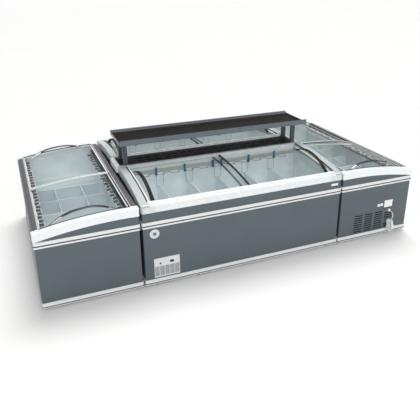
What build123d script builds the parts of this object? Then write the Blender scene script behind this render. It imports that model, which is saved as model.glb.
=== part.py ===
from build123d import *
import math
import os

# Island of four chest freezers with curved sliding glass lids and one raised shelf.
# Millimetres. Origin on the floor at the island's centre, +X along the island,
# +Y away from its front, +Z up.

# Island plan
cabinet_depth = 850
middle_length = 1980
end_length = 1960
joint_gap = 13
spine_width = end_length - 2 * cabinet_depth
middle_face = middle_length / 2 + joint_gap
outer_face = middle_face + cabinet_depth
front_face = end_length / 2

# Heights above the floor
floor_gap = 25
skirt_top = 73
tray_sheet = 3
bumper_low = 573
bumper_top = 628
middle_crest = 854
end_crest = 770

# Roof curve, shared by the rails, caps and lids of every cabinet
roof_radius = 3500
crest_line = 720
rail_height = 66
rail_width = 60
cap_width = 75

# Skins, rails and insulation
trim_proud = 6
skin = 2
corner_radius = 16
wall = 70
well_floor = 135
hump_floor = 345
hump_length = 382
liner_skin = 3
machine_length = 330
machine_top = 292

# Lid tracks, measured down from the roof curve
track_depth = 14
upper_glass = 9
lower_glass = 25
glass_thickness = 4
track_clearance = 4
lid_overlap = 80
end_play = 2
profile_width = 16
profile_rise = 3
middle_pull = (82, 660)
middle_pull_rise = 52
end_pull = (133, 690)
end_pull_rise = 50
handle_inset = 48
handle_width = 28
handle_bar = 11
foot_clearance = 0.03

# Partitions and hook rails
partition = 4
partition_gap = 27
partition_drop = 170
divider_spread = 128
hook_wire = 6
hook_period = 150
hook_reach = 40
hook_drop = 42

# Control panel (middle cabinets) and louvres (end cabinets)
panel_from = 85
panel_to = 320
panel_low = 84
panel_high = 272
louvre_columns = 4
louvre_rows = 8
rows_behind_lead = (2, 3, 7)
louvre_width = 98
louvre_height = 12
louvre_start = 195
louvre_pitch_across = 124
louvre_low = 92
louvre_pitch_up = 25

# Shelf
shelf_length = 1990
shelf_depth = 440
shelf_shift = 30
shelf_height = 1075
shelf_lip = 50
lip_rise = 43
shelf_sheet = 4
back_lip = 34
post_across = 42
post_along = 30
post_places = (-905, 935)
post_spread = 98
cover_top = 843
cover_height = 40
cover_half = 965

# Mains lead
cord_diameter = 7
cord_across = 236
cord_height = 275
hank_low = 50
hank_height = 130
hank_width = 56
hank_depth = 48
hank_thick = 15
hank_clear = 8

os.makedirs("parts", exist_ok=True)


class Cabinet:
    """One chest freezer in its own frame: u along it, v from low side to high side."""

    def __init__(self, name, length, crest, corner, turn):
        self.name = name
        self.length = length
        self.crest = crest
        self.place = Pos(corner[0], corner[1], 0) * Rot(0, 0, turn)

    def roof(self, v):
        return self.crest - roof_radius + math.sqrt(roof_radius**2 - (v - crest_line) ** 2)


cabinets = [
    Cabinet("front", middle_length, middle_crest, (-middle_length / 2, -front_face), 0),
    Cabinet("back", middle_length, middle_crest, (middle_length / 2, front_face), 180),
    Cabinet("right", end_length, end_crest, (outer_face, -front_face), 90),
    Cabinet("left", end_length, end_crest, (-outer_face, front_face), -90),
]


def save(shape, node):
    shape.label = node
    export_step(shape, f"parts/{node}.step")


def group(shapes):
    """Several separate solids kept together as one sub-part."""
    return Compound([solid for shape in shapes for solid in shape.solids()])


def block(x0, x1, y0, y1, z0, z1):
    size = Box(x1 - x0, y1 - y0, z1 - z0)
    return Pos((x0 + x1) / 2, (y0 + y1) / 2, (z0 + z1) / 2) * size


def rounded_block(cab, inset, z0, z1, radius):
    """Upright block over the cabinet's plan, set in from its outline."""
    outline = RectangleRounded(cab.length - 2 * inset, cabinet_depth - 2 * inset, radius)
    return Pos(cab.length / 2, cabinet_depth / 2, z0) * extrude(outline, z1 - z0)


def curve(cab, v0, v1, drop):
    """Roof curve between two depths, lowered by drop, in the YZ plane."""
    mid = (v0 + v1) / 2
    points = [(v, cab.roof(v) - drop) for v in (v0, mid, v1)]
    return ThreePointArc(*points)


def band(cab, u0, u1, v0, v1, top, bottom):
    """Prism along the cabinet between the roof curve lowered by top and by bottom."""
    upper = curve(cab, v0, v1, top)
    lower = curve(cab, v0, v1, bottom)
    sides = Line(upper @ 0, lower @ 0) + Line(upper @ 1, lower @ 1)
    face = make_face(Plane.YZ * (upper + lower + sides))
    return Pos(u0, 0, 0) * extrude(face, u1 - u0, dir=(1, 0, 0))


def under_roof(cab, drop):
    """Everything below the roof curve lowered by drop."""
    margin = 5
    upper = curve(cab, -margin, cabinet_depth + margin, drop)
    low_left = (-margin, 0)
    low_right = (cabinet_depth + margin, 0)
    sides = Polyline(upper @ 0, low_left, low_right, upper @ 1)
    face = make_face(Plane.YZ * (upper + sides))
    return Pos(-margin, 0, 0) * extrude(face, cab.length + 2 * margin, dir=(1, 0, 0))


def well(cab, inset):
    """Storage space, with the raised floor over the machine space, set in all round."""
    across = (wall + inset, cabinet_depth - wall - inset)
    far = cab.length - cap_width - inset
    deep = block(hump_length + inset, far, *across, well_floor + inset, cab.crest)
    shallow = block(cap_width + inset, far, *across, hump_floor + inset, cab.crest)
    return deep + shallow


def base(cab):
    """Skirt rail with its shadow groove, on a steel tray."""
    ring = rounded_block(cab, 0, floor_gap, skirt_top, corner_radius)
    ring -= rounded_block(cab, 30, floor_gap + tray_sheet, skirt_top + 1, corner_radius)
    groove_low = floor_gap + 9
    groove = rounded_block(cab, -5, groove_low, groove_low + 5, corner_radius)
    groove -= rounded_block(cab, 7, groove_low - 1, groove_low + 6, corner_radius - 7)
    return ring - groove


def bumper(cab):
    """Rail round the body, standing proud of the skin, with a dark slot along it."""
    ring = rounded_block(cab, 0, bumper_low, bumper_top, corner_radius)
    ring -= rounded_block(cab, trim_proud, bumper_low - 1, bumper_top + 1, corner_radius - trim_proud)
    slot_low = bumper_low + 17
    slot = rounded_block(cab, -5, slot_low, slot_low + 8, corner_radius)
    slot -= rounded_block(cab, 3, slot_low - 1, slot_low + 9, corner_radius - 3)
    return ring - slot


def machine_cutouts(cab):
    """Openings through the skin: the control panel's seat or the louvres."""
    if cab.length == middle_length:
        return [block(panel_from, panel_to, -1, wall / 2, panel_low, panel_high)]
    slots = []
    for column in range(louvre_columns):
        v = louvre_start + column * louvre_pitch_across
        for row in range(louvre_rows):
            if column == 0 and row in rows_behind_lead:
                continue
            z = louvre_low + row * louvre_pitch_up
            slots.append(block(-1, wall / 2, v, v + louvre_width, z, z + louvre_height))
    return slots


def casing(cab):
    """Coloured sheet round all four sides, from the skirt up to the roof frame."""
    outer = rounded_block(cab, trim_proud, skirt_top, cab.crest, corner_radius - trim_proud)
    inset = trim_proud + skin
    inner = rounded_block(cab, inset, skirt_top - 1, cab.crest + 1, corner_radius - inset)
    sheet = (outer - inner) & under_roof(cab, rail_height)
    return sheet - machine_cutouts(cab)


def foam(cab):
    """Insulation between the skins, open below over the machine space."""
    inset = trim_proud + skin
    body = rounded_block(cab, inset, skirt_top, cab.crest, corner_radius - inset)
    body &= under_roof(cab, rail_height)
    machine = block(0, machine_length, 0, cabinet_depth, 0, machine_top)
    return body - machine - well(cab, 0)


def liner(cab):
    """Inner tub, open at the top."""
    tub = well(cab, 0) - well(cab, liner_skin)
    return tub & under_roof(cab, rail_height)


def side_rail(cab, low_side):
    """Long rail of the roof frame, with two tracks for the lids in its inner side."""
    if low_side:
        v0, v1 = 0, rail_width
        t0, t1 = rail_width - track_depth, rail_width + 1
    else:
        v0, v1 = cabinet_depth - rail_width, cabinet_depth
        t0, t1 = v0 - 1, v0 + track_depth
    rail = band(cab, cap_width, cab.length - cap_width, v0, v1, 0, rail_height)
    for glass in (upper_glass, lower_glass):
        top = glass - track_clearance
        bottom = glass + glass_thickness + track_clearance
        rail -= band(cab, 0, cab.length, t0, t1, top, bottom)
    outer_v = 0 if low_side else cabinet_depth
    top_edge = rail.edges().filter_by(Axis.X).filter_by_position(
        Axis.Y, outer_v - 0.1, outer_v + 0.1).sort_by(Axis.Z)[-1]
    return fillet(top_edge, 14)


def end_cap(cab, first):
    """Curved cap across the end of the roof frame."""
    u0, u1 = (0, cap_width) if first else (cab.length - cap_width, cab.length)
    outer_u = 0 if first else cab.length
    cap = band(cab, u0, u1, 0, cabinet_depth, 0, rail_height)
    corners = cap.edges().filter_by(Axis.Z).filter_by_position(Axis.X, outer_u - 0.1, outer_u + 0.1)
    return fillet(corners, corner_radius)


def lid_span(cab, upper):
    """Where a shut lid starts and ends along the cabinet."""
    half = cab.length / 2
    if upper:
        return cap_width + end_play, half + lid_overlap / 2
    return half - lid_overlap / 2, cab.length - cap_width - end_play


def lid_glass(cab, upper):
    """Curved pane, its long edges in the tracks."""
    u0, u1 = lid_span(cab, upper)
    top = upper_glass if upper else lower_glass
    edge = rail_width - track_depth + 2
    pane = (u0 + profile_width, u1 - profile_width, edge, cabinet_depth - edge)
    return band(cab, *pane, top, top + glass_thickness)


def lid_frame(cab, upper):
    """End profiles of a lid and the arched pull on its glass."""
    u0, u1 = lid_span(cab, upper)
    top = upper_glass if upper else lower_glass
    across = (rail_width + 2, cabinet_depth - rail_width - 2)
    depths = (top - profile_rise, top + glass_thickness + profile_rise)
    first = band(cab, u0, u0 + profile_width, *across, *depths)
    last = band(cab, u1 - profile_width, u1, *across, *depths)
    centre = u0 + handle_inset if upper else u1 - handle_inset
    return group([first, last, handle(cab, centre, top)])


def handle(cab, centre, seat):
    """Arched pull bar across the lid, its feet on the glass."""
    is_middle = cab.length == middle_length
    start, end = middle_pull if is_middle else end_pull
    mid = (start + end) / 2
    peak = cab.roof(mid) + (middle_pull_rise if is_middle else end_pull_rise)
    foot = 2 * handle_bar

    def on_glass(v):
        return (v, cab.roof(v) - seat + foot_clearance)

    outer = ThreePointArc(on_glass(start), (mid, peak), on_glass(end))
    inner = ThreePointArc(
        on_glass(start + foot), (mid, peak - handle_bar), on_glass(end - foot))
    feet = Line(outer @ 0, inner @ 0) + Line(outer @ 1, inner @ 1)
    face = make_face(Plane.YZ * (outer + inner + feet))
    return Pos(centre - handle_width / 2, 0, 0) * extrude(face, handle_width, dir=(1, 0, 0))


def partition_lines(cab):
    """Where the cross partitions stand: the well shared out into six bays."""
    start = cap_width + liner_skin
    pitch = (cab.length - 2 * start) / 6
    return [start + pitch * number for number in range(1, 6)]


def partition_floor(u):
    return (hump_floor if u < hump_length + 10 else well_floor) + liner_skin


def partitions(cab):
    """Upright panels that divide the well; end cabinets have two rows of small bins."""
    top = cab.roof(wall) - partition_drop
    across = (wall + liner_skin + partition_gap, cabinet_depth - wall - liner_skin - partition_gap)
    lines = partition_lines(cab)
    panels = [
        block(u - partition / 2, u + partition / 2, *across, partition_floor(u), top)
        for u in lines]
    if cab.length == end_length:
        for start, stop in zip(lines[1:3], lines[2:4]):
            for v in (cabinet_depth / 2 - divider_spread, cabinet_depth / 2 + divider_spread):
                span = (start + partition / 2, stop - partition / 2)
                side = (v - partition / 2, v + partition / 2)
                panels.append(block(*span, *side, partition_floor(stop), top))
    return group(panels)


def wave_outline(cab):
    """Closed plan outline of a square wave of wire: (along the well, in from its wall)."""
    length = cab.length - 2 * cap_width - 60
    waves = int(length // hook_period)
    path = []
    for number in range(waves):
        start = number * hook_period
        path += [(start, 0), (start, hook_reach)]
        path += [(start + hook_period / 2, hook_reach), (start + hook_period / 2, 0)]
    near, far = [], []
    for number, (u, reach) in enumerate(path):
        before = path[max(number - 1, 0)]
        after = path[min(number + 1, len(path) - 1)]
        rise = after[1] - before[1]
        run = after[0] - before[0]
        side_u = -math.copysign(hook_wire / 2, rise) if rise else 0
        side_in = math.copysign(hook_wire / 2, run) if run else 0
        near.append((u + side_u, reach + side_in))
        far.append((u - side_u, reach - side_in))
    return near + far[::-1], (waves - 0.5) * hook_period


def hook_rail(cab, low_side):
    """Bent wire rail lying level along a wall of the well, for hanging panels and tickets."""
    outline, length = wave_outline(cab)
    start = (cab.length - length) / 2
    edge = wall + liner_skin + hook_wire / 2 + 1
    points = []
    for along, reach in outline:
        v = edge + reach if low_side else cabinet_depth - edge - reach
        points.append((start + along, v))
    face = make_face(Polyline(*points, close=True))
    level = cab.roof(wall) - hook_drop - hook_wire
    return Pos(0, 0, level) * extrude(face, hook_wire, dir=(0, 0, 1))


def foot(u, v):
    """Levelling foot: a pad and its threaded stem."""
    pad = Pos(u, v, 5) * Cylinder(24, 10)
    stem = Pos(u, v, (10 + floor_gap) / 2) * Cylinder(9, floor_gap - 10)
    return pad + stem


def feet(cab):
    """Six feet under one cabinet."""
    inset = 52
    return [foot(u, v)
            for u in (110, 500, cab.length - 110)
            for v in (inset, cabinet_depth - inset)]


def compressor():
    """Welded motor can on its mounting plate, in the machine space."""
    seat = floor_gap + tray_sheet
    plate = block(110, 290, 300, 500, seat, seat + 8)
    can = Pos(200, 400, seat + 88) * Cylinder(75, 160)
    can = fillet(can.edges().sort_by(Axis.Z)[-1], 40)
    return plate + can


def control_panel():
    """Moulded panel in the skin: a flat control field over an air grille."""
    gap = 1
    low, high = panel_low + gap, panel_high - gap
    left, right = panel_from + gap, panel_to - gap
    body = block(left, right, 2, 26, low, high)
    body -= block(left + 4, right - 4, 8, 27, low + 4, high - 4)
    rib_pitch = (right - left - 20) / 5
    for number in range(5):
        start = left + 10 + number * rib_pitch
        body -= block(start + 3, start + rib_pitch - 3, 0, 10, low + 10, low + 96)
    return body


def spine_cover():
    """Vented cover between the two middle cabinets, turned down along both sides."""
    half_width = spine_width / 2
    cover = block(-cover_half, cover_half, -half_width, half_width,
                  cover_top - cover_height, cover_top)
    cover -= block(-cover_half - 1, cover_half + 1, 3 - half_width, half_width - 3,
                   cover_top - cover_height - 1, cover_top - 3)
    slot_length = 70
    pitch = 92
    for column in range(-8, 9):
        x = column * pitch
        for y in (-52, -26, 0, 26, 52):
            cover -= block(x - slot_length / 2, x + slot_length / 2, y - 6, y + 6,
                           cover_top - 5, cover_top + 1)
    return cover


def spine_end_blocks():
    """Blocks that close each end of the cover and meet the end cabinets."""
    inner = cover_half
    half_width = spine_width / 2
    right = block(inner, middle_face, -half_width, half_width, cover_top - 60, cover_top + 4)
    left = block(-middle_face, -inner, -half_width, half_width, cover_top - 60, cover_top + 4)
    return group([right, left])


def shelf_tray():
    """Shelf board with a price-rail lip in front and a raised lip behind."""
    half_length = shelf_length / 2
    half_depth = shelf_depth / 2
    board = block(-half_length, half_length, -half_depth, half_depth,
                  shelf_height, shelf_height + shelf_sheet)
    front = block(-half_length, half_length, -half_depth - 4, -half_depth,
                  shelf_height + lip_rise - shelf_lip, shelf_height + lip_rise)
    back = block(-half_length, half_length, half_depth, half_depth + 4,
                 shelf_height - 16, shelf_height + back_lip)
    sides = [block(s * half_length - 2, s * half_length + 2, -half_depth - 4, half_depth + 4,
                   shelf_height - 16, shelf_height + 16) for s in (-1, 1)]
    return Pos(shelf_shift, 0, 0) * (board + front + back + sides[0] + sides[1])


def shelf_post(x, y):
    """Rectangular post on a foot plate, under the shelf board."""
    tube = block(x - post_across / 2, x + post_across / 2, y - post_along / 2,
                 y + post_along / 2, cover_top, shelf_height)
    plate = block(x - post_across / 2 - 8, x + post_across / 2 + 8, y - post_along / 2 - 8,
                  y + post_along / 2 + 8, cover_top, cover_top + 4)
    return tube + plate


def shelf_posts():
    """Four posts tied in pairs by an arm under the board."""
    frames = []
    for x in post_places:
        frame = shelf_post(x, -post_spread) + shelf_post(x, post_spread)
        arm = block(x - post_across / 2, x + post_across / 2, -post_spread, post_spread,
                    shelf_height - 30, shelf_height)
        frames.append(frame + arm)
    return group(frames)


def cord_fittings():
    """Gland that the mains lead leaves by, and the hook that its hank hangs on."""
    facing_out = Rot(90, 0, 0)
    gland = Pos(0, -7, cord_height) * facing_out * Cone(11, 7, 14)
    flange = Pos(0, -3, cord_height) * facing_out * Cylinder(15, 6)
    bore = Pos(0, -5, cord_height) * facing_out * Cylinder(cord_diameter / 2, 60)
    hook_z = hank_low + hank_height - hank_thick - 8
    arm = Pos(0, -29, hook_z) * facing_out * Cylinder(7, 58)
    stop = Pos(0, -60, hook_z) * facing_out * Cylinder(11, 4)
    return group([gland + flange - bore, arm + stop])


def cord_path():
    """Lead from the gland, out and down to the top of the hank."""
    points = [
        (0, -14, cord_height),
        (0, -34, cord_height),
        (0, -56, cord_height - 12),
        (0, -66, cord_height - 35),
        (0, -64, cord_height - 59),
        (0, -55, cord_height - 78),
        (0, -52, hank_low + hank_height),
    ]
    radii = []
    for before, corner, after in zip(points, points[1:], points[2:]):
        run_in = Vector(*corner) - Vector(*before)
        run_out = Vector(*after) - Vector(*corner)
        turn = math.radians(run_in.get_angle(run_out))
        shorter = min(run_in.length, run_out.length)
        radii.append(0.45 * shorter / math.tan(turn / 2))
    print("lead radii", [round(r, 1) for r in radii])
    return FilletPolyline(*points, radius=radii)


def cord_lead():
    path = cord_path()
    section = Plane(origin=path @ 0, z_dir=path % 0) * Circle(cord_diameter / 2)
    return sweep(section, path)


def cord_hank():
    """Outer shape of the folded lead, hanging over its hook."""
    centre = hank_low + hank_height / 2
    eye_width = hank_width - 2 * hank_thick
    eye_height = hank_height - 2 * hank_thick
    outer = RectangleRounded(hank_width, hank_height, hank_width / 2 - 6)
    eye = RectangleRounded(eye_width, eye_height, eye_width / 2 - 1)
    loop = extrude(outer - eye, hank_depth)
    return Pos(0, -hank_clear, centre) * Rot(90, 0, 0) * loop


def plug():
    """Mains plug at the free end of the lead, tucked against the hank's side."""
    x, y, top = hank_width / 2 + 15, -hank_clear - 24, hank_low + 66
    body = Pos(x, y, top - 20) * Cylinder(15, 40)
    body = fillet(body.edges().sort_by(Axis.Z)[-1], 9)
    pins = [Pos(x + side * 9.5, y, top - 49) * Cylinder(2.4, 20) for side in (-1, 1)]
    return body + pins[0] + pins[1]


makers = {
    "base": base,
    "casing": casing,
    "foam": foam,
    "liner": liner,
    "bumper": bumper,
    "side_rails": lambda cab: group([side_rail(cab, True), side_rail(cab, False)]),
    "end_caps": lambda cab: group([end_cap(cab, True), end_cap(cab, False)]),
    "partitions": partitions,
    "lid_upper_glass": lambda cab: lid_glass(cab, True),
    "lid_upper_frame": lambda cab: lid_frame(cab, True),
    "lid_lower_glass": lambda cab: lid_glass(cab, False),
    "lid_lower_frame": lambda cab: lid_frame(cab, False),
}

hook_rails, all_feet, compressors, panels = [], [], [], []
for cab in cabinets:
    for part_name, make in makers.items():
        save(cab.place * make(cab), f"{cab.name}_{part_name}")
    hook_rails += [cab.place * hook_rail(cab, True), cab.place * hook_rail(cab, False)]
    all_feet += [cab.place * one for one in feet(cab)]
    compressors.append(cab.place * compressor())
    if cab.length == middle_length:
        panels.append(cab.place * control_panel())

save(group(hook_rails), "hook_rails")
save(group(all_feet), "feet")
save(group(compressors), "compressors")
save(group(panels), "control_panels")
save(spine_cover(), "spine_cover")
save(spine_end_blocks(), "spine_end_blocks")
save(shelf_tray(), "shelf_tray")
save(shelf_posts(), "shelf_posts")

cord_place = Pos(outer_face - cord_across, trim_proud - front_face, 0)
save(cord_place * cord_fittings(), "cord_fittings")
save(cord_place * cord_lead(), "cord_lead")
save(cord_place * cord_hank(), "cord_hank")
save(cord_place * plug(), "plug")
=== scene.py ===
import math

import bmesh
import bpy
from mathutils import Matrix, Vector


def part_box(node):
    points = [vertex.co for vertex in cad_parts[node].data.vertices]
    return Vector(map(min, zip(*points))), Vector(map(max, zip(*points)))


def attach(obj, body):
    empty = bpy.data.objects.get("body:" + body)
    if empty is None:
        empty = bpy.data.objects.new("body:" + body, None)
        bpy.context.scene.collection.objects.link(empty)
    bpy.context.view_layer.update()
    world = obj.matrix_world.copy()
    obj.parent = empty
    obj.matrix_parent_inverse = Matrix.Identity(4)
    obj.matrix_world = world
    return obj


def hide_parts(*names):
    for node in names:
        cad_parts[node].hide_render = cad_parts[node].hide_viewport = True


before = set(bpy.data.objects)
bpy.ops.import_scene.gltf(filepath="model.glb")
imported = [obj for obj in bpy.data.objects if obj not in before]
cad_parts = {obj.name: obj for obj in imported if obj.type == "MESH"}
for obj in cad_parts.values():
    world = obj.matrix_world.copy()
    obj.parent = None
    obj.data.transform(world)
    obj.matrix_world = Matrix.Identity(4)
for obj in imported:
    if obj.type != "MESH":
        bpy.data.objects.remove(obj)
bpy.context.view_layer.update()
scene = bpy.context.scene
MM = 0.001
ISLAND = "island"

# Sizes that the CAD model has too, in millimetres
roof_radius = 3500
crest_line = 720
depth = 850
rail_width = 60
rail_height = 66
cap_width = 75
corner_radius = 16
wall = 70
liner_skin = 3
liner_face = wall + liner_skin
upper_glass = 9
lower_glass = 25
glass_thickness = 4
profile_width = 16
profile_rise = 3
end_play = 2
lid_overlap = 80
middle_pull = (82, 660)
middle_pull_rise = 52
end_pull = (133, 690)
end_pull_rise = 50
handle_inset = 48
handle_width = 28
handle_bar = 11
hook_drop = 42
hook_wire = 6
hook_reach = 40
hook_period = 150
partition_drop = 170
partition_gap = 27
bays = 6
divider_spread = 128
well_floor = 135
hump_floor = 345
hump_length = 382
louvre_columns = 4
louvre_rows = 8
louvre_start = 195
louvre_low = 92
louvre_width = 98
column_pitch = 124
row_pitch = 25
rows_behind_lead = (2, 3, 7)

# Trim that only this script has, in millimetres: heights of the black inserts, which lap
# their slots, and how far the thin trim stands proud of the face it lies on
bumper_insert = (589, 599)
skirt_insert = (33, 41)
insert_proud = 0.8
sleeve_face = (-1.2, 0.2)


# ---------------------------------------------------------------- materials

def new_material(name):
    """A material with its node tree and its shader node."""
    mat = bpy.data.materials.new(name)
    mat.use_nodes = True
    shader = mat.node_tree.nodes["Principled BSDF"]
    return mat, mat.node_tree, shader


def noise(tree, scale, detail=3.0, stretch=(1, 1, 1)):
    """Noise over the object's own coordinates, in metres."""
    coords = tree.nodes.new("ShaderNodeTexCoord")
    mapping = tree.nodes.new("ShaderNodeMapping")
    mapping.inputs["Scale"].default_value = stretch
    texture = tree.nodes.new("ShaderNodeTexNoise")
    texture.inputs["Scale"].default_value = scale
    texture.inputs["Detail"].default_value = detail
    tree.links.new(coords.outputs["Object"], mapping.inputs["Vector"])
    tree.links.new(mapping.outputs["Vector"], texture.inputs["Vector"])
    return texture.outputs["Fac"]


def ramp(tree, source, stops):
    """Colours blended along a value, from (position, colour) stops."""
    node = tree.nodes.new("ShaderNodeValToRGB")
    elements = node.color_ramp.elements
    while len(elements) < len(stops):
        elements.new(0.5)
    for element, (position, colour) in zip(elements, stops):
        element.position = position
        element.color = (*colour, 1)
    tree.links.new(source, node.inputs["Fac"])
    return node.outputs["Color"]


def spread(tree, source, low, high):
    """Noise stretched to run between two values."""
    node = tree.nodes.new("ShaderNodeMapRange")
    node.inputs["From Min"].default_value = 0.3
    node.inputs["From Max"].default_value = 0.7
    node.inputs["To Min"].default_value = low
    node.inputs["To Max"].default_value = high
    tree.links.new(source, node.inputs["Value"])
    return node.outputs["Result"]


def bump(tree, shader, height, strength, distance):
    """Fine relief from a height texture, its depth in metres."""
    node = tree.nodes.new("ShaderNodeBump")
    node.inputs["Strength"].default_value = strength
    node.inputs["Distance"].default_value = distance
    tree.links.new(height, node.inputs["Height"])
    tree.links.new(node.outputs["Normal"], shader.inputs["Normal"])


def shade(colour, factor):
    """Colour made lighter or darker."""
    return tuple(min(1.0, c * factor) for c in colour)


def painted(name, colour, rough, grain=900, relief=0.0002, patch=2.2, vary=0.05,
            coat=0.0, metal=0.0, shine=0.5):
    """Painted, coated or moulded surface: slow colour drift, orange peel and uneven gloss."""
    mat, tree, shader = new_material(name)
    drift = noise(tree, patch, 4)
    stops = [(0.3, shade(colour, 1 - vary)), (0.7, shade(colour, 1 + vary))]
    tree.links.new(ramp(tree, drift, stops), shader.inputs["Base Color"])
    peel = noise(tree, grain, 2)
    tree.links.new(spread(tree, noise(tree, patch * 6, 5), rough * 0.85, rough * 1.2),
                   shader.inputs["Roughness"])
    bump(tree, shader, peel, 0.25, relief)
    shader.inputs["Metallic"].default_value = metal
    shader.inputs["Specular IOR Level"].default_value = shine
    shader.inputs["Coat Weight"].default_value = coat
    shader.inputs["Coat Roughness"].default_value = 0.08
    return mat


def brushed(name, colour, rough, along=(1, 1, 40)):
    """Metal with fine brushing lines."""
    mat, tree, shader = new_material(name)
    lines = noise(tree, 160, 3, along)
    stops = [(0.3, shade(colour, 0.9)), (0.7, shade(colour, 1.08))]
    tree.links.new(ramp(tree, lines, stops), shader.inputs["Base Color"])
    tree.links.new(spread(tree, lines, rough * 0.8, rough * 1.25), shader.inputs["Roughness"])
    bump(tree, shader, lines, 0.15, 0.0001)
    shader.inputs["Metallic"].default_value = 1.0
    return mat


def stucco(name, colour):
    """Embossed white sheet with a little frost in random patches."""
    mat, tree, shader = new_material(name)
    frost = noise(tree, 7, 6)
    stops = [(0.35, shade(colour, 0.93)), (0.68, shade(colour, 1.06))]
    tree.links.new(ramp(tree, frost, stops), shader.inputs["Base Color"])
    pebble = tree.nodes.new("ShaderNodeTexVoronoi")
    pebble.inputs["Scale"].default_value = 150
    coords = tree.nodes.new("ShaderNodeTexCoord")
    tree.links.new(coords.outputs["Object"], pebble.inputs["Vector"])
    bump(tree, shader, pebble.outputs["Distance"], 0.25, 0.0006)
    tree.links.new(spread(tree, frost, 0.34, 0.5), shader.inputs["Roughness"])
    return mat


def clear_glass(name, tint, haze):
    """Thin pane: clear when seen square on, mirror-like at low angles, with faint smears."""
    mat, tree, shader = new_material(name)
    nodes, links = tree.nodes, tree.links
    smear = spread(tree, noise(tree, 3.5, 5), haze * 0.5, haze * 1.5)
    angle = nodes.new("ShaderNodeLayerWeight")
    angle.inputs["Blend"].default_value = 0.5
    steep = nodes.new("ShaderNodeMath")
    steep.operation = "POWER"
    steep.inputs[1].default_value = 4.0
    links.new(angle.outputs["Facing"], steep.inputs[0])
    share = nodes.new("ShaderNodeMath")
    share.operation = "MULTIPLY_ADD"
    share.inputs[1].default_value = 0.5
    share.use_clamp = True
    links.new(steep.outputs["Value"], share.inputs[0])
    links.new(smear, share.inputs[2])
    gloss = nodes.new("ShaderNodeBsdfGlossy")
    gloss.inputs["Color"].default_value = (0.9, 0.92, 0.92, 1)
    links.new(spread(tree, noise(tree, 9, 4), 0.02, 0.06), gloss.inputs["Roughness"])
    clear = nodes.new("ShaderNodeBsdfTransparent")
    clear.inputs["Color"].default_value = (*tint, 1)
    mix = nodes.new("ShaderNodeMixShader")
    links.new(share.outputs["Value"], mix.inputs["Fac"])
    links.new(clear.outputs["BSDF"], mix.inputs[1])
    links.new(gloss.outputs["BSDF"], mix.inputs[2])
    nodes.remove(shader)
    links.new(mix.outputs["Shader"], nodes["Material Output"].inputs["Surface"])
    return mat


def woven_grille(name, colour):
    """Fine mesh sheet: a grid of small dark holes."""
    mat, tree, shader = new_material(name)
    coords = tree.nodes.new("ShaderNodeTexCoord")
    wave_x = tree.nodes.new("ShaderNodeTexWave")
    wave_z = tree.nodes.new("ShaderNodeTexWave")
    wave_z.bands_direction = "Z"
    for wave in (wave_x, wave_z):
        wave.inputs["Scale"].default_value = 40
        tree.links.new(coords.outputs["Object"], wave.inputs["Vector"])
    both = tree.nodes.new("ShaderNodeMath")
    both.operation = "MAXIMUM"
    tree.links.new(wave_x.outputs["Fac"], both.inputs[0])
    tree.links.new(wave_z.outputs["Fac"], both.inputs[1])
    stops = [(0.55, shade(colour, 0.12)), (0.75, colour)]
    tree.links.new(ramp(tree, both.outputs["Value"], stops), shader.inputs["Base Color"])
    shader.inputs["Roughness"].default_value = 0.55
    return mat


WHITE = painted("white_trim", (0.80, 0.82, 0.83), 0.34, vary=0.025)
CAP_WHITE = painted("cap_white", (0.88, 0.92, 0.93), 0.30, vary=0.02, coat=0.2)
SLEEVE = painted("sleeve_white", (0.71, 0.75, 0.76), 0.32, vary=0.02, coat=0.2)
SLATE = painted("slate_powder", (0.084, 0.110, 0.126), 0.36, grain=700, vary=0.06, coat=0.1)
# Dark grey for the end cabinets' side rails: a painted reflection of dim surroundings on a glossy white
# rail
RAIL_PAINTED_REFLECTION = painted("rail_painted_reflection", (0.165, 0.160, 0.178), 0.32, vary=0.10, metal=0.3)
SILVER = painted("silver_rail", (0.83, 0.87, 0.88), 0.26, vary=0.03, coat=0.2)
LINER = stucco("liner_stucco", (0.88, 0.945, 0.965))
PARTITION = painted("partition_white", (0.83, 0.90, 0.93), 0.4, vary=0.04)
GLASS = clear_glass("lid_glass", (0.985, 0.992, 0.992), 0.014)
BLACK = painted("black_plastic", (0.006, 0.006, 0.006), 0.6, vary=0.2, shine=0.25)
RUBBER = painted("black_rubber", (0.010, 0.010, 0.011), 0.65, vary=0.25)
CLEAR_TRIM = painted("pale_trim", (0.80, 0.83, 0.80), 0.3, vary=0.05)
# Grey for the middle cabinets' white end caps: painted shade, darkened all over because their tops fall
# dim in the light
CAP_PAINTED_SHADE = painted("cap_painted_shade", (0.47, 0.51, 0.505), 0.30, vary=0.04, coat=0.2)
STRIP = painted("breaker_strip", (0.50, 0.515, 0.47), 0.45, vary=0.05)
# Near-black painted shade for the end cabinets' breaker strips and hook ledges, standing for the shadow
# under the rail edge
STRIP_PAINTED_SHADE = painted("breaker_strip_painted_shade", (0.055, 0.062, 0.066), 0.5, vary=0.15)
DARK_TRIM = painted("dark_trim", (0.045, 0.060, 0.058), 0.35, vary=0.15)
CHROME = brushed("chrome_pull", (0.78, 0.78, 0.79), 0.10)
BLACK_CHROME = painted("smoked_pull", (0.10, 0.10, 0.11), 0.14, vary=0.1, metal=0.9)
WIRE = painted("white_wire", (0.88, 0.91, 0.92), 0.3, vary=0.04, coat=0.2)
WIRE_STEEL = brushed("steel_wire", (0.42, 0.45, 0.46), 0.25)
BLACK_SHEET = painted("black_sheet", (0.008, 0.008, 0.010), 0.5, vary=0.2, shine=0.3)
SHELF_TOP = painted("shelf_gloss", (0.008, 0.006, 0.005), 0.22, vary=0.25, shine=0.12)
SHELF_RAIL = painted("shelf_rail", (0.13, 0.155, 0.185), 0.3, vary=0.06, coat=0.2)
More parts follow.
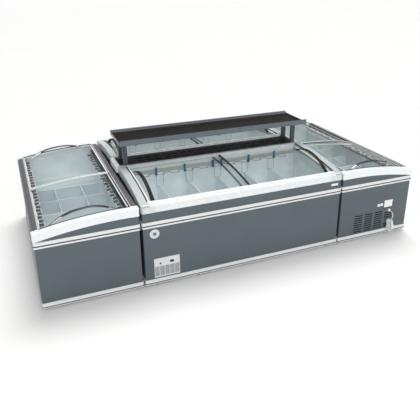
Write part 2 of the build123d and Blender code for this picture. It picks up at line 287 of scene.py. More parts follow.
# Lighter copy of the slate shelf rail: painted light on the back lip, whose visible face lies in shade
SHELF_LIP_PAINTED_LIGHT = painted("shelf_lip_painted_light", (0.30, 0.33, 0.36), 0.3, vary=0.06, coat=0.2)
POST = painted("post_slate", (0.07, 0.085, 0.10), 0.34, vary=0.1)
PANEL_WHITE = painted("panel_white", (0.70, 0.73, 0.74), 0.3, vary=0.02, coat=0.2)
GRILLE = woven_grille("air_grille", (0.52, 0.55, 0.56))
LABEL = painted("blank_label", (0.86, 0.87, 0.87), 0.3, vary=0.01)
PANEL_EDGE = painted("panel_edge", (0.86, 0.90, 0.91), 0.35, vary=0.03)
BLUE = painted("blue_clip", (0.004, 0.17, 0.38), 0.3, vary=0.1)
CORD_WHITE = painted("cord_sheath", (0.93, 0.94, 0.94), 0.36, vary=0.02)
FOAM = painted("foam_cream", (0.72, 0.66, 0.45), 0.8, grain=300, relief=0.001, vary=0.08)
COMPRESSOR = painted("enamel_black", (0.02, 0.02, 0.022), 0.3, vary=0.2, coat=0.3)
FLOOR = painted("studio_floor", (0.93, 0.925, 0.915), 0.6, grain=60, relief=0.0001, patch=0.5, vary=0.005)


# ---------------------------------------------------------------- cabinets

class Cabinet:
    """A freezer's own frame, as in the CAD: u along it, v from its low side to its high side."""

    def __init__(self, name, turn):
        low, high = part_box(f"{name}_base")
        self.name = name
        self.turn = math.radians(turn)
        self.middle = turn in (0, 180)
        corners = {0: (low.x, low.y), 180: (high.x, high.y), 90: (high.x, low.y), -90: (low.x, high.y)}
        self.corner = Vector((*corners[turn], 0))
        self.length = ((high.x - low.x) if self.middle else (high.y - low.y)) / MM
        self.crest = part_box(f"{name}_end_caps")[1].z / MM

    def roof(self, v):
        """Height of the roof curve above v, in millimetres."""
        return self.crest - roof_radius + math.sqrt(roof_radius**2 - (v - crest_line) ** 2)

    def place(self, u, v, z):
        """Point of the row frame, in metres, from the cabinet's own millimetres."""
        c, s = math.cos(self.turn), math.sin(self.turn)
        return self.corner + Vector((u * c - v * s, u * s + v * c, z)) * MM

    def outward(self):
        """Direction that the cabinet's long low side faces."""
        return self.place(0, -1, 0) - self.place(0, 0, 0)


cabinets = {name: Cabinet(name, turn) for name, turn in
            (("front", 0), ("back", 180), ("right", 90), ("left", -90))}


# ---------------------------------------------------------------- mesh helpers

def finish_mesh(name, bm, material, body=ISLAND, bevel=0.0):
    """Object from a bmesh, in the row frame, with optional rounded edges."""
    bmesh.ops.recalc_face_normals(bm, faces=bm.faces)
    mesh = bpy.data.meshes.new(name)
    bm.to_mesh(mesh)
    bm.free()
    obj = bpy.data.objects.new(name, mesh)
    scene.collection.objects.link(obj)
    mesh.materials.append(material)
    round_edges(obj, bevel)
    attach(obj, body)
    return obj


def round_edges(obj, width, smooth=35):
    """Shades an object smooth across soft angles and rounds its sharp edges."""
    mesh = obj.data
    mesh.polygons.foreach_set("use_smooth", [True] * len(mesh.polygons))
    if width:
        mod = obj.modifiers.new("rounding", "BEVEL")
        mod.width = width * MM
        mod.segments = 2
        mod.limit_method = "ANGLE"
        mod.angle_limit = math.radians(smooth)
        mod.harden_normals = True
    else:
        mesh.set_sharp_from_angle(angle=math.radians(smooth))


def add_prism(bm, near, far):
    """Closed solid between two matching loops of points."""
    a = [bm.verts.new(p) for p in near]
    b = [bm.verts.new(p) for p in far]
    bm.faces.new(a)
    bm.faces.new(b[::-1])
    count = len(a)
    for i in range(count):
        j = (i + 1) % count
        bm.faces.new((a[j], a[i], b[i], b[j]))


def bridge(bm, rings, closed=False):
    """Faces between each ring of vertices and the next, and from the last to the first if closed."""
    pairs = list(zip(rings, rings[1:]))
    if closed:
        pairs.append((rings[-1], rings[0]))
    count = len(rings[0])
    for a, b in pairs:
        for i in range(count):
            j = (i + 1) % count
            bm.faces.new((a[i], a[j], b[j], b[i]))


def add_box(bm, cab, u0, u1, v0, v1, z0, z1):
    """Box in a cabinet's own frame."""
    outline = ((u0, v0), (u1, v0), (u1, v1), (u0, v1))
    add_prism(bm, *([cab.place(u, v, z) for u, v in outline] for z in (z0, z1)))


def box_piece(name, cab, bounds, material, body=ISLAND, bevel=1.0):
    """Box with rounded edges in a cabinet's own frame."""
    bm = bmesh.new()
    add_box(bm, cab, *bounds)
    return finish_mesh(name, bm, material, body, bevel)


def band_outline(cab, v0, v1, top, bottom, steps=24):
    """Section between the roof curve lowered by top and by bottom, as (v, z)."""
    across = [v0 + (v1 - v0) * i / steps for i in range(steps + 1)]
    upper = [(v, cab.roof(v) - top) for v in across]
    lower = [(v, cab.roof(v) - bottom) for v in reversed(across)]
    return upper + lower


def add_band(bm, cab, u0, u1, v0, v1, top, bottom, steps=24):
    """Slab that follows the roof curve."""
    section = band_outline(cab, v0, v1, top, bottom, steps)
    add_prism(bm, [cab.place(u0, v, z) for v, z in section], [cab.place(u1, v, z) for v, z in section])


def band_piece(name, cab, spans, material, body=ISLAND, bevel=0.6, steps=24):
    """One object of several slabs that follow the roof curve."""
    bm = bmesh.new()
    for span in spans:
        add_band(bm, cab, *span, steps)
    return finish_mesh(name, bm, material, body, bevel)


def rounded_loop(length, width, inset, radius, steps=6):
    """Points round a rectangle with rounded corners, set in from its outline."""
    points = []
    corners = ((length - inset - radius, width - inset - radius, 0),
               (inset + radius, width - inset - radius, 90),
               (inset + radius, inset + radius, 180),
               (length - inset - radius, inset + radius, 270))
    for u, v, start in corners:
        for i in range(steps + 1):
            angle = math.radians(start + 90 * i / steps)
            points.append((u + radius * math.cos(angle), v + radius * math.sin(angle)))
    return points


def ring_piece(name, cab, outer, inner, z0, z1, material, bevel=0.0):
    """Closed ring round a cabinet between two insets and two heights."""
    bm = bmesh.new()
    loops = []
    for inset, z in ((outer, z0), (outer, z1), (inner, z1), (inner, z0)):
        radius = max(corner_radius - inset, 2)
        loop = rounded_loop(cab.length, depth, inset, radius)
        loops.append([bm.verts.new(cab.place(u, v, z)) for u, v in loop])
    bridge(bm, loops, closed=True)
    return finish_mesh(name, bm, material, bevel=bevel)


def wire_piece(name, runs, radius, material, body=ISLAND, cyclic=False):
    """Round wires along lists of points."""
    curve = bpy.data.curves.new(name, "CURVE")
    curve.dimensions = "3D"
    curve.bevel_depth = radius * MM
    curve.bevel_resolution = 3
    curve.use_fill_caps = True
    for run in runs:
        spline = curve.splines.new("POLY")
        spline.points.add(len(run) - 1)
        for point, place in zip(spline.points, run):
            point.co = (*place, 1)
        spline.use_cyclic_u = cyclic
        spline.use_smooth = True
    obj = bpy.data.objects.new(name, curve)
    scene.collection.objects.link(obj)
    curve.materials.append(material)
    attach(obj, body)
    return obj


def turned_piece(name, centre, axis, profile, material, body=ISLAND, steps=40):
    """Solid of revolution: profile is (radius, height) along axis from centre, in millimetres."""
    axis = Vector(axis).normalized()
    side = axis.orthogonal().normalized()
    other = axis.cross(side)
    bm = bmesh.new()
    rings = []
    for radius, height in profile:
        ring = []
        for i in range(steps):
            angle = 2 * math.pi * i / steps
            offset = (side * math.cos(angle) + other * math.sin(angle)) * radius + axis * height
            ring.append(bm.verts.new(centre + offset * MM))
        rings.append(ring)
    bridge(bm, rings)
    bm.faces.new(rings[0])
    bm.faces.new(rings[-1][::-1])
    return finish_mesh(name, bm, material, body)


def dress(node, material, bevel=0.0):
    """Gives a CAD part its finished material and soft edges."""
    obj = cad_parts[node]
    obj.data.materials.clear()
    obj.data.materials.append(material)
    for face in obj.data.polygons:
        face.material_index = 0
    if bevel:
        round_edges(obj, bevel, smooth=30)


# ---------------------------------------------------------------- cabinet bodies

def body_shell(cab):
    """Finishes of a cabinet's CAD parts, with their trim."""
    n = cab.name
    dress(f"{n}_base", WHITE, 1.0)
    dress(f"{n}_casing", SLATE)
    dress(f"{n}_foam", FOAM)
    dress(f"{n}_liner", LINER)
    dress(f"{n}_bumper", WHITE, 0.8)
    dress(f"{n}_partitions", PARTITION)
    panel_edges(cab)
    hangers(cab)
    # End cabinets' side rails take the dark grey painted reflection
    dress(f"{n}_side_rails", SILVER if cab.middle else RAIL_PAINTED_REFLECTION, 1.0)
    # Middle cabinets' end caps take the grey painted shade; the end cabinets' caps keep their white
    dress(f"{n}_end_caps", CAP_PAINTED_SHADE if cab.middle else CAP_WHITE, 3.0)
    ring_piece(f"{n}_bumper_insert", cab, -insert_proud, 2.9, *bumper_insert, RUBBER)
    ring_piece(f"{n}_skirt_insert", cab, -insert_proud, 2.0, *skirt_insert, RUBBER)
    breaker_strips(cab)
    rail_lines(cab)


def seals(cab):
    """Black seals where the shut lids meet the end caps."""
    under, over = 10, 1
    sides = (rail_width + 3, depth - rail_width - 3)
    levels = (-2.2, 5)
    ends = ((cap_width - under, cap_width + over),
            (cab.length - cap_width - over, cab.length - cap_width + under))
    band_piece(f"{cab.name}_end_seals", cab, [(*end, *sides, *levels) for end in ends], BLACK)


def corner_sleeves(cab):
    """White mouldings over the front corners of the roof frame."""
    near, far = 14, 124
    bottom, top = cab.roof(0) - rail_height, cab.roof(0) - 13
    bm = bmesh.new()
    for u0, u1 in ((near, far), (cab.length - far, cab.length - near)):
        add_band(bm, cab, u0, u1, 8, 20, *sleeve_face)
        add_box(bm, cab, u0, u1, *sleeve_face, bottom, top)
    finish_mesh(f"{cab.name}_corner_sleeves", bm, SLEEVE, bevel=0.4)


def breaker_strips(cab):
    """Plastic angles that close the gap between the roof frame and the tub's long walls."""
    gap, lap, sheet, drop = 0.5, 3, 1.5, 34
    u0, u1 = cap_width + 4, cab.length - cap_width - 4
    bm = bmesh.new()
    low = cab.roof(liner_face) - rail_height + 1
    add_box(bm, cab, u0, u1, rail_width + gap, liner_face + lap, low - sheet, low + gap)
    add_box(bm, cab, u0, u1, liner_face + gap, liner_face + lap, low - drop, low)
    far_face = depth - liner_face
    high = cab.roof(far_face) - rail_height + 1
    add_box(bm, cab, u0, u1, far_face - lap, depth - rail_width - gap, high - sheet, high + gap)
    add_box(bm, cab, u0, u1, far_face - lap, far_face - gap, high - drop, high)
    # Middle cabinets keep the olive strip; end cabinets get the near-black painted shade
    finish_mesh(f"{cab.name}_breaker_strips", bm, STRIP if cab.middle else STRIP_PAINTED_SHADE, bevel=0.6)


def hook_ledges(cab):
    """Ledges under the hook rails of an end cabinet, each with a low inner rim, near-black as painted
    shade behind the hook wires.
    """
    gap, reach, rim = 0.5, 40, 1.5
    level = hook_level(cab)
    far_face = depth - liner_face
    u0, u1 = cap_width + 6, cab.length - cap_width - 6
    bm = bmesh.new()
    for v0, v1, edge in ((liner_face + gap, liner_face + reach, liner_face + reach),
                         (far_face - reach, far_face - gap, far_face - reach)):
        add_box(bm, cab, u0, u1, v0, v1, level - 14, level - 12)
        add_box(bm, cab, u0, u1, edge - rim, edge + rim, level - 16, level - 8)
    finish_mesh(f"{cab.name}_hook_ledges", bm, STRIP_PAINTED_SHADE, bevel=0.5)


def rail_lines(cab):
    """Pale edging strips along the long rails' inner edges, and a dark groove outside each."""
    u0, u1 = cap_width + 1, cab.length - cap_width - 1
    strip, groove = 5, 3
    strips = [(u0, u1, v, v + strip, -0.9, 1.5) for v in (rail_width - 6, depth - rail_width + 1)]
    band_piece(f"{cab.name}_rail_edging", cab, strips, CLEAR_TRIM, bevel=0.4, steps=2)
    grooves = [(u0, u1, v, v + groove, -0.3, 1.0) for v in (22, depth - 25)]
    band_piece(f"{cab.name}_rail_grooves", cab, grooves, DARK_TRIM, bevel=0, steps=2)


# ---------------------------------------------------------------- lids

def lid_span(cab, upper):
    """Where a shut lid begins and ends along its cabinet."""
    half = cab.length / 2
    if upper:
        return cap_width + end_play, half + lid_overlap / 2
    return half - lid_overlap / 2, cab.length - cap_width - end_play


def pull_section(width):
    """Rounded flat section of the pull bar: (across the bar, through it)."""
    radius, steps = 4.5, 4
    half_w, half_t = width / 2 - radius, handle_bar / 2 - radius
    points = []
    for across, through, start in ((half_w, half_t, 0), (-half_w, half_t, 90),
                                   (-half_w, -half_t, 180), (half_w, -half_t, 270)):
        for i in range(steps + 1):
            angle = math.radians(start + 90 * i / steps)
            points.append((across + radius * math.cos(angle), through + radius * math.sin(angle)))
    return points


def pull_line(cab, seat, steps=36):
    """Middle line of the arched pull, as (v, z): steep at its feet and nearly flat on top."""
    low, high = middle_pull if cab.middle else end_pull
    rise = middle_pull_rise if cab.middle else end_pull_rise
    foot_inset, flatness = 8, 2.3
    start = (low + foot_inset, cab.roof(low) - seat)
    end = (high - foot_inset, cab.roof(high) - seat)
    peak = cab.roof((low + high) / 2) + rise - handle_bar / 2
    arch = peak - (start[1] + end[1]) / 2
    line = []
    for i in range(steps + 1):
        t = i / steps
        v = start[0] + (end[0] - start[0]) * t
        base = start[1] + (end[1] - start[1]) * t
        line.append((v, base + arch * (1 - abs(2 * t - 1) ** flatness)))
    return line


def pull_piece(name, cab, centre, seat, material, body, part=(0.0, 1.0), grow=0.0):
    """Arched pull bar, or the stretch of it between two fractions of its length, a little thicker."""
    line = pull_line(cab, seat)
    first, last = (round(share * (len(line) - 1)) for share in part)
    line = line[first:last + 1]
    extra_width = 5 if cab.middle else 0
    section = [(a * (1 + grow), t * (1 + grow)) for a, t in pull_section(handle_width + extra_width)]
    bm = bmesh.new()
    rings = []
    for i, (v, z) in enumerate(line):
        before, after = line[max(i - 1, 0)], line[min(i + 1, len(line) - 1)]
        along = Vector((after[0] - before[0], after[1] - before[1])).normalized()
        up = Vector((-along.y, along.x))
        rings.append([bm.verts.new(cab.place(centre + across, v + up.x * through, z + up.y * through))
                      for across, through in section])
    bridge(bm, rings)
    bm.faces.new(rings[0][::-1])
    bm.faces.new(rings[-1])
    return finish_mesh(name, bm, material, body)


def lid(cab, upper):
    """A lid's glass, its edge profiles, wiper and pull, riding on the lid's own body."""
    side = "upper" if upper else "lower"
    n = f"{cab.name}_lid_{side}"
    seat = upper_glass if upper else lower_glass
    under = seat + glass_thickness
    u0, u1 = lid_span(cab, upper)
    dress(f"{n}_glass", GLASS)
    across = (rail_width + end_play, depth - rail_width - end_play)
    depths = (seat - profile_rise, under + profile_rise)
    first = (u0, u0 + profile_width, *across, *depths)
    last = (u1 - profile_width, u1, *across, *depths)
    outer, inner = (first, last) if upper else (last, first)
    inner_finish = (BLACK if upper else DARK_TRIM) if cab.middle else CLEAR_TRIM
    outer_trim = band_piece(f"{n}_outer_profile", cab, [outer], CLEAR_TRIM, n, 1.2)
    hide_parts(f"{n}_frame")
    band_piece(f"{n}_inner_profile", cab, [inner], inner_finish, n, 1.2)

    channel_width, channel_rise = 12, 1.2
    low, high = across
    along = (u0 + profile_width, u1 - profile_width)
    channels = [(*along, v0, v1, seat - channel_rise, under + channel_rise)
                for v0, v1 in ((low, low + channel_width), (high - channel_width, high))]
    band_piece(f"{n}_long_edges", cab, channels, CLEAR_TRIM, n, 0.4, 3)
    if not cab.middle:
        wiper_width, gap = 8, 1
        near = u1 - profile_width - gap - wiper_width if upper else u0 + profile_width + gap
        wiper = (near, near + wiper_width, *across, seat - 1.5, under + profile_rise)
        band_piece(f"{n}_wiper", cab, [wiper], RUBBER, n, 0.4)

    centre = u0 + handle_inset if upper else u1 - handle_inset
    bar, foot, share = (BLACK, BLACK, 0.05) if cab.middle else (BLACK_CHROME, CHROME, 0.2)
    pull_piece(f"{n}_pull", cab, centre, seat, bar, n)
    pull_piece(f"{n}_pull_foot_low", cab, centre, seat, foot, n, (0.0, share), 0.05)
    pull_piece(f"{n}_pull_foot_high", cab, centre, seat, foot, n, (1 - share / 2, 1.0), 0.05)


# ---------------------------------------------------------------- hook rails and clips

def hook_level(cab):
    """Height of the hook rails' wire."""
    return cab.roof(wall) - hook_drop - hook_wire / 2


def hook_wave(cab, low_side):
    """Points of the level square wave of wire along one long side of a well."""
    length = cab.length - 2 * cap_width - 60
    waves = int(length // hook_period)
    start = (cab.length - (waves - 0.5) * hook_period) / 2
    bend_radius = 7
    corners = []
    for i in range(waves):
        u = start + i * hook_period
        half = u + hook_period / 2
        corners += [(u, 0), (u, hook_reach), (half, hook_reach), (half, 0)]
    points = [corners[0]]
    for before, corner, after in zip(corners, corners[1:], corners[2:]):
        points += soft_corner(before, corner, after, bend_radius)
    points.append(corners[-1])
    level = hook_level(cab)
    edge = liner_face + 4
    return [cab.place(u, edge + w if low_side else depth - edge - w, level) for u, w in points]


def soft_corner(before, corner, after, radius):
    """A wire's bend: a few points that cut a corner round."""
    c = Vector(corner)
    a = (Vector(before) - c).normalized() * radius
    b = (Vector(after) - c).normalized() * radius
    bend = []
    for i in range(4):
        t = i / 3
        bend.append(c + a * (1 - t) ** 2 + b * t**2)
    return [(p.x, p.y) for p in bend]


def hook_rails():
    """Steel hook rails in the middle cabinets and white ones in the end cabinets."""
    for name, middle, finish in (("steel", True, WIRE_STEEL), ("white", False, WIRE)):
        group = [cab for cab in cabinets.values() if cab.middle == middle]
        runs = [hook_wave(cab, low) for cab in group for low in (True, False)]
        rails = wire_piece(f"hook_rails_{name}", runs, hook_wire / 2, finish)
        if middle:
            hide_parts("hook_rails")


def partition_lines(cab):
    """Places along a well of its cross panels."""
    start = cap_width + liner_skin
    pitch = (cab.length - 2 * start) / bays
    return [start + pitch * number for number in range(1, bays)]


def partition_floor(u):
    """Level that a cross panel stands on: the well's floor, or the hump over the machine."""
    return (hump_floor if u < hump_length + 10 else well_floor) + liner_skin


def hangers(cab):
    """Wire loops that hang each cross panel's ends from the hook rails."""
    level = hook_level(cab)
    top = cab.roof(wall) - partition_drop
    inset = liner_face + partition_gap + 8
    half, crook = 34, 3
    runs = []
    for u in partition_lines(cab):
        for v, inward in ((inset, 1), (depth - inset, -1)):
            for side, rise in ((-1, -2), (1, 12)):
                leg = u + side * half
                hook = leg - side * crook
                runs.append([cab.place(leg, v, top + rise), cab.place(leg, v, level + 4),
                             cab.place(hook, v - crook * inward, level + 8),
                             cab.place(hook, v - 12 * inward, level + 8)])
            runs.append([cab.place(u - half, v, top - 2), cab.place(u - 6, v, top + 3),
                         cab.place(u + 6, v, top + 3), cab.place(u + half, v, top + 12)])
    wire_piece(f"{cab.name}_hangers", runs, 1.9, WIRE_STEEL if cab.middle else WIRE)


def panel_edges(cab):
    """Rolled top edges of the well's dividing panels, and turned flanges at their ends."""
    top = cab.roof(wall) - partition_drop
    lines = partition_lines(cab)
    ends = (liner_face + partition_gap, depth - liner_face - partition_gap)
    rims = [[cab.place(u, ends[0], top), cab.place(u, ends[1], top)] for u in lines]
    if not cab.middle:
        for start, stop in zip(lines[1:3], lines[2:4]):
            for v in (depth / 2 - divider_spread, depth / 2 + divider_spread):
                rims.append([cab.place(start, v, top), cab.place(stop, v, top)])
    wire_piece(f"{cab.name}_panel_rims", rims, 3.0, PANEL_EDGE)
    half_flange, sheet = 14, 2
    bm = bmesh.new()
    for u in lines:
        low = partition_floor(u) + 2
        for v in ends:
            v0, v1 = (v, v + sheet) if v < depth / 2 else (v - sheet, v)
            add_box(bm, cab, u - half_flange, u + half_flange, v0, v1, low, top + 1)
    finish_mesh(f"{cab.name}_panel_flanges", bm, PARTITION, bevel=0.6)


def clips(cab):
    """Blue ticket clips standing on the high-side hook rail."""
    places = (354, 647, 947, 1040, 1349, 1646)
    stem, grip = 9, 12
    v = depth - liner_face - 12
    level = hook_level(cab)
    for number, u in enumerate(places):
        bm = bmesh.new()
        add_box(bm, cab, u - stem, u + stem, v - 4, v + 4, level - 20, level + 64)
        add_box(bm, cab, u - grip, u + grip, v - 7, v + 6, level - 6, level + 8)
        add_box(bm, cab, u - grip, u + grip, v - 5, v + 5, level + 44, level + 58)
        finish_mesh(f"{cab.name}_clip_{number}", bm, BLUE, bevel=1.6)


# ---------------------------------------------------------------- front fittings

def control_panel(cab):
    """White moulded panel: control field with display and lamp over a ribbed air grille."""
    low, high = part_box("control_panels")
    u0, u1 = 86, 319
    z0, z1 = low.z / MM, high.z / MM
    split = z0 + 106
    back, rib, ribs = 22, 6, 6
    n = f"{cab.name}_control"
    bm = bmesh.new()
    add_box(bm, cab, u0, u1, 1.0, back, split, z1)
    add_box(bm, cab, u0, u1, 1.0, back, z0, z0 + 12)
    pitch = (u1 - u0 - rib) / (ribs - 1)
    for i in range(ribs):
        u = u0 + i * pitch
        add_box(bm, cab, u, u + rib, 1.2, back, z0 + 6, split + 2)
    panel = finish_mesh(f"{n}_panel", bm, PANEL_WHITE, bevel=2.5)
    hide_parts("control_panels")
    box_piece(f"{n}_grille", cab, (u0 + 4, u1 - 4, 5, 8, z0 + 6, split + 1), GRILLE, bevel=0.3)
    display = (u0 + 142, u0 + 178, -0.6, 2, z1 - 58, z1 - 36)
    box_piece(f"{n}_display", cab, display, BLACK, bevel=1.4)
    lamp = cab.place(u0 + 56, 1, z1 - 52)
    profile = [(9, -1), (9, 1.0), (7.5, 2.0), (3, 2.4)]
    turned_piece(f"{n}_lamp", lamp, cab.outward(), profile, DARK_TRIM)


def badge(cab):
    """Plain round badge: a white dished disc with a small grey centre."""
    centre = cab.place(104, 6, 512)
    disc = [(43, -1), (43, 2.4), (41.5, 4.0), (38, 4.4), (36, 3.4), (14, 3.2)]
    button = [(15, 2), (15, 4.4), (13, 5.2), (2, 5.6)]
    turned_piece(f"{cab.name}_badge", centre, cab.outward(), disc, PANEL_WHITE)
    turned_piece(f"{cab.name}_badge_centre", centre, cab.outward(), button, SHELF_RAIL)


def labels():
    """Blank stickers on the front cabinet's upper band and by the right cabinet's louvres."""
    front, right = cabinets["front"], cabinets["right"]
    skin = (5.2, 6.2)
    box_piece("front_band_label", front, (1862, 1938, *skin, 662, 684), LABEL, bevel=0.2)
    box_piece("right_rating_label", right, (*skin, 204, 306, 316, 392), LABEL, bevel=0.2)
    box_piece("right_small_label_a", right, (*skin, 324, 354, 338, 368), LABEL, bevel=0.2)
    box_piece("right_small_label_b", right, (*skin, 360, 392, 336, 366), LABEL, bevel=0.2)


def louvres(cab):
    """Slots pressed outward along their lower edges, in a raised field, with a black sheet behind as
    painted shade inside.
    """
    lip = [(6.5, -4), (2.6, 1.5), (3.6, 3.2), (8.5, 0.2)]
    bm = bmesh.new()
    for column in range(louvre_columns):
        v = louvre_start + column * column_pitch
        for row in range(louvre_rows):
            if column == 0 and row in rows_behind_lead:
                continue
            z = louvre_low + row * row_pitch
            near = [cab.place(u, v - 1, z + rise) for u, rise in lip]
            far = [cab.place(u, v + louvre_width + 1, z + rise) for u, rise in lip]
            add_prism(bm, near, far)
    finish_mesh(f"{cab.name}_louvre_lips", bm, SLATE, bevel=0.5)

    z0, z1, v0, v1, bead = 80, 300, 176, 690, 5
    border = bmesh.new()
    for a, b, c, d in ((v0, v1, z0, z0 + bead), (v0, v1, z1 - bead, z1),
                       (v0, v0 + bead, z0, z1), (v1 - bead, v1, z0, z1)):
        add_box(border, cab, 4.6, 6.4, a, b, c, d)
    finish_mesh(f"{cab.name}_louvre_border", border, SLATE, bevel=0.5)
    # Black sheet behind the slots: painted shade for their dark insides
    box_piece(f"{cab.name}_louvre_shade", cab, (14, 16, 186, 684, 84, 294), RUBBER, bevel=0.2)


# ---------------------------------------------------------------- shelf and spine

def add_world_box(bm, x0, x1, y0, y1, z0, z1):
    """Box in the frame of the whole row."""
    outline = ((x0, y0), (x1, y0), (x1, y1), (x0, y1))
    add_prism(bm, *([Vector((x, y, z)) * MM for x, y in outline] for z in (z0, z1)))


def shelf():
    """Glossy board with a price rail in front, low ends and a raised lip behind."""
    low, high = (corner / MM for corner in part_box("shelf_tray"))
    x0, x1, y0, y1 = low.x, high.x, low.y, high.y
    board_top = low.z + 20
    board_under = board_top - 4
    rail_top = high.z
    rail_low = rail_top - 50
    back_top = high.z - 9
    sheet = 3

    bm = bmesh.new()
    add_world_box(bm, x0 + 2, x1 - 2, y0 + 4, y1 - sheet, board_under, board_top)
    board = finish_mesh("shelf_board", bm, SHELF_TOP, bevel=1.0)
    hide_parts("shelf_tray")

    panels = 4
    seams = bmesh.new()
    for i in range(1, panels):
        x = x0 + (x1 - x0) * i / panels
        add_world_box(seams, x - 1.5, x + 1.5, y0 + 5, y1 - 4, board_top - 0.5, board_top + 0.6)
    finish_mesh("shelf_seams", seams, BLACK)

    rail = bmesh.new()
    add_world_box(rail, x0, x1, y0, y0 + sheet, rail_low, rail_top)
    add_world_box(rail, x0, x1, y0, y0 + 11, rail_low, rail_low + sheet)
    add_world_box(rail, x0, x1, y0, y0 + 8, rail_top - sheet, rail_top)
    finish_mesh("shelf_price_rail", rail, SHELF_RAIL, bevel=1.0)

    ends = bmesh.new()
    for x in (x0, x1 - 4):
        add_world_box(ends, x, x + 4, y0 + sheet, y1, low.z, low.z + 32)
    finish_mesh("shelf_ends", ends, SHELF_RAIL, bevel=1.0)

    back = bmesh.new()
    add_world_box(back, x0, x1, y1 - sheet, y1, low.z, back_top)
    add_world_box(back, x0, x1, y1 - 14, y1, back_top - sheet, back_top)
    # The back lip takes the lighter painted-light copy of the shelf rail's slate
    finish_mesh("shelf_back_lip", back, SHELF_LIP_PAINTED_LIGHT, bevel=1.0)

    half_arm = 15
    arms = bmesh.new()
    for x in (x0 + 150, (x0 + x1) / 2, x1 - 150):
        add_world_box(arms, x - half_arm, x + half_arm, y0 + 12, y1 - 14, board_top - 22, board_under)
    finish_mesh("shelf_stiffeners", arms, SHELF_RAIL, bevel=1.0)


def spine():
    """Finishes of the parts between the middle cabinets and under them all."""
    dress("spine_cover", BLACK_SHEET)
    dress("spine_end_blocks", CAP_WHITE, 4.0)
    dress("shelf_posts", POST, 2.0)
    dress("feet", RUBBER, 1.5)
    dress("compressors", COMPRESSOR)


# ---------------------------------------------------------------- mains lead

def hank_turn(y, half_w, upper, lower):
    """Points of one turn of the hank, drawn in at its middle and working towards the skin."""
    middle = (upper + lower) / 2
    return [(half_w, y, upper - 22), (half_w - 9, y + 1, middle), (half_w, y + 1.5, lower + 22),
            (half_w - 10, y + 2, lower + 4), (0, y + 2.4, lower), (10 - half_w, y + 3, lower + 4),
            (-half_w, y + 3.5, lower + 22), (9 - half_w, y + 4, middle), (-half_w, y + 5, upper - 22),
            (10 - half_w, y + 6, upper - 4), (0, y + 6.6, upper), (half_w - 10, y + 7, upper - 4)]


def lead_route(top, bottom, exit_z, plug_entry):
    """Points of the lead, gland to hank to plug: across and out from the gland, and height."""
    half_w, turns, pitch, front = 23, 6, 7.3, -52
    upper, lower = top - 4, bottom + 4
    route = [(0, -14, exit_z), (0, -34, exit_z), (0, -56, exit_z - 12), (0, -66, exit_z - 35),
             (0, -64, exit_z - 59), (0, -55, exit_z - 78), (4, front, top), (18, front, top - 12)]
    for turn in range(turns):
        route += hank_turn(front + turn * pitch, half_w, upper, lower)
    x, y, z = plug_entry
    return route + [(half_w + 6, -12, upper - 30), (x, y + 8, z + 28), (x, y, z + 12), (x, y, z - 1)]


def mains_lead():
    """White lead from its gland, down to a hank hung over the hook, ending in a plug."""
    low, high = (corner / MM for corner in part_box("cord_hank"))
    x = (low.x + high.x) / 2
    skin_y = high.y + 8
    top, bottom = high.z, low.z
    exit_z = top + 95
    plug_low, plug_high = (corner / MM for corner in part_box("plug"))
    plug_middle = (plug_low + plug_high) / 2
    route = lead_route(top, bottom, exit_z, (plug_middle.x - x, plug_middle.y - skin_y, plug_high.z))

    curve = bpy.data.curves.new("mains_lead", "CURVE")
    curve.dimensions = "3D"
    curve.bevel_depth = 3.5 * MM
    curve.bevel_resolution = 4
    curve.resolution_u = 6
    curve.use_fill_caps = True
    spline = curve.splines.new("NURBS")
    spline.points.add(len(route) - 1)
    for point, (px, py, pz) in zip(spline.points, route):
        point.co = ((x + px) * MM, (skin_y + py) * MM, pz * MM, 1)
    spline.order_u = 3
    spline.use_endpoint_u = True
    lead = bpy.data.objects.new("mains_lead", curve)
    scene.collection.objects.link(lead)
    curve.materials.append(CORD_WHITE)
    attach(lead, ISLAND)
    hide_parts("cord_lead", "cord_hank")
    curve_length(lead)

    waist = (top + bottom) / 2
    loop = ((-19, -50), (-15, -57), (15, -57), (19, -50), (19, -12), (15, -6), (-15, -6), (-19, -12))
    tie = [Vector((x + across, skin_y + y, waist)) * MM for across, y in loop]
    wire_piece("hank_tie", [tie], 1.8, CORD_WHITE, cyclic=True)


def curve_length(obj):
    """Length along a curve's own line, in metres."""
    plain = obj.data.copy()
    plain.bevel_depth = 0
    holder = bpy.data.objects.new("measure", plain)
    mesh = bpy.data.meshes.new_from_object(holder)
    points = [v.co for v in mesh.vertices]
    total = sum((b - a).length for a, b in zip(points, points[1:]))
    bpy.data.meshes.remove(mesh)
    bpy.data.objects.remove(holder)
    bpy.data.curves.remove(plain)
    return total


def lead_fittings():
    """Finishes of the lead's gland and hook, and its plug."""
    dress("cord_fittings", CORD_WHITE, 0.8)
    dress("plug", CORD_WHITE, 1.0)


# ---------------------------------------------------------------- studio

def floor():
    """Studio floor, much wider than the view."""
    half = 40
    bm = bmesh.new()
    corners = [bm.verts.new((x * half, y * half, 0)) for x, y in ((-1, -1), (1, -1), (1, 1), (-1, 1))]
    bm.faces.new(corners)
    mesh = bpy.data.meshes.new("floor")
    bm.to_mesh(mesh)
    bm.free()
    obj = bpy.data.objects.new("floor", mesh)
    scene.collection.objects.link(obj)
    mesh.materials.append(FLOOR)


def sun(name, towards, strength, angle):
    """Broad distant light shining along a direction."""
    light = bpy.data.lights.new(name, "SUN")
    light.energy = strength
    light.angle = math.radians(angle)
    obj = bpy.data.objects.new(name, light)
    obj.rotation_mode = "QUATERNION"
    obj.rotation_quaternion = Vector(towards).to_track_quat("-Z", "Y")
    scene.collection.objects.link(obj)


def softbox(name, place, size, power, spread_angle):
    """Wide overhead panel light, pointing straight down."""
    light = bpy.data.lights.new(name, "AREA")
    light.shape = "RECTANGLE"
    light.size, light.size_y = size
    light.energy = power
    light.spread = math.radians(spread_angle)
    obj = bpy.data.objects.new(name, light)
    obj.location = place
    scene.collection.objects.link(obj)


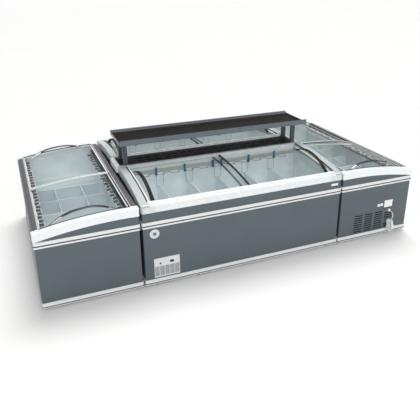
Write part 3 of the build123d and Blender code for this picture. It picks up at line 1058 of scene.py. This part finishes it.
def studio():
    """Pale room: a white horizon band, dim above it and bright overhead, with broad distant lights."""
    world = bpy.data.worlds.new("studio")
    scene.world = world
    world.use_nodes = True
    tree = world.node_tree
    background = tree.nodes["Background"]
    coords = tree.nodes.new("ShaderNodeTexCoord")
    split = tree.nodes.new("ShaderNodeSeparateXYZ")
    tree.links.new(coords.outputs["Generated"], split.inputs["Vector"])
    stops = [(0.09, (1.0, 1.0, 1.0)),
             (0.18, (0.16, 0.155, 0.15)),
             (0.42, (0.19, 0.19, 0.195)),
             (0.8, (0.62, 0.62, 0.62))]
    tree.links.new(ramp(tree, split.outputs["Z"], stops), background.inputs["Color"])
    background.inputs["Strength"].default_value = 1.0
    sun("key", (-0.5, -0.75, -2.0), 1.72, 32)
    sun("front", (0.15, 1.0, -0.55), 1.02, 50)
    softbox("overhead", (0, 0, 3.2), (3.6, 1.8), 7.0, 35)
    scene.view_settings.view_transform = "Standard"
    scene.view_settings.look = "None"
    scene.view_settings.exposure = 0.0


def camera():
    """Raised view from the front left, with its lens and shift as shares of the image's width."""
    image_width = 420
    focal, shift_x, shift_y = 519.823 / image_width, -12.166 / image_width, -31.871 / image_width
    yaw, pitch = math.radians(23.101), math.radians(21.705)
    data = bpy.data.cameras.new("camera")
    data.sensor_width = 36
    data.lens = data.sensor_width * focal
    data.shift_x = shift_x
    data.shift_y = shift_y
    data.clip_end = 200
    obj = bpy.data.objects.new("camera", data)
    scene.collection.objects.link(obj)
    forward = Vector((math.sin(yaw) * math.cos(pitch), math.cos(yaw) * math.cos(pitch), -math.sin(pitch)))
    obj.location = (-1.893661, -4.793217, 2.575649)
    obj.rotation_mode = "QUATERNION"
    obj.rotation_quaternion = forward.to_track_quat("-Z", "Y")
    scene.camera = obj


for cabinet in cabinets.values():
    body_shell(cabinet)
    seals(cabinet)
    lid(cabinet, True)
    lid(cabinet, False)
    if cabinet.middle:
        control_panel(cabinet)
        corner_sleeves(cabinet)
        clips(cabinet)
    else:
        louvres(cabinet)
        hook_ledges(cabinet)
badge(cabinets["front"])
labels()
hook_rails()
shelf()
spine()
lead_fittings()
mains_lead()
floor()
studio()
camera()
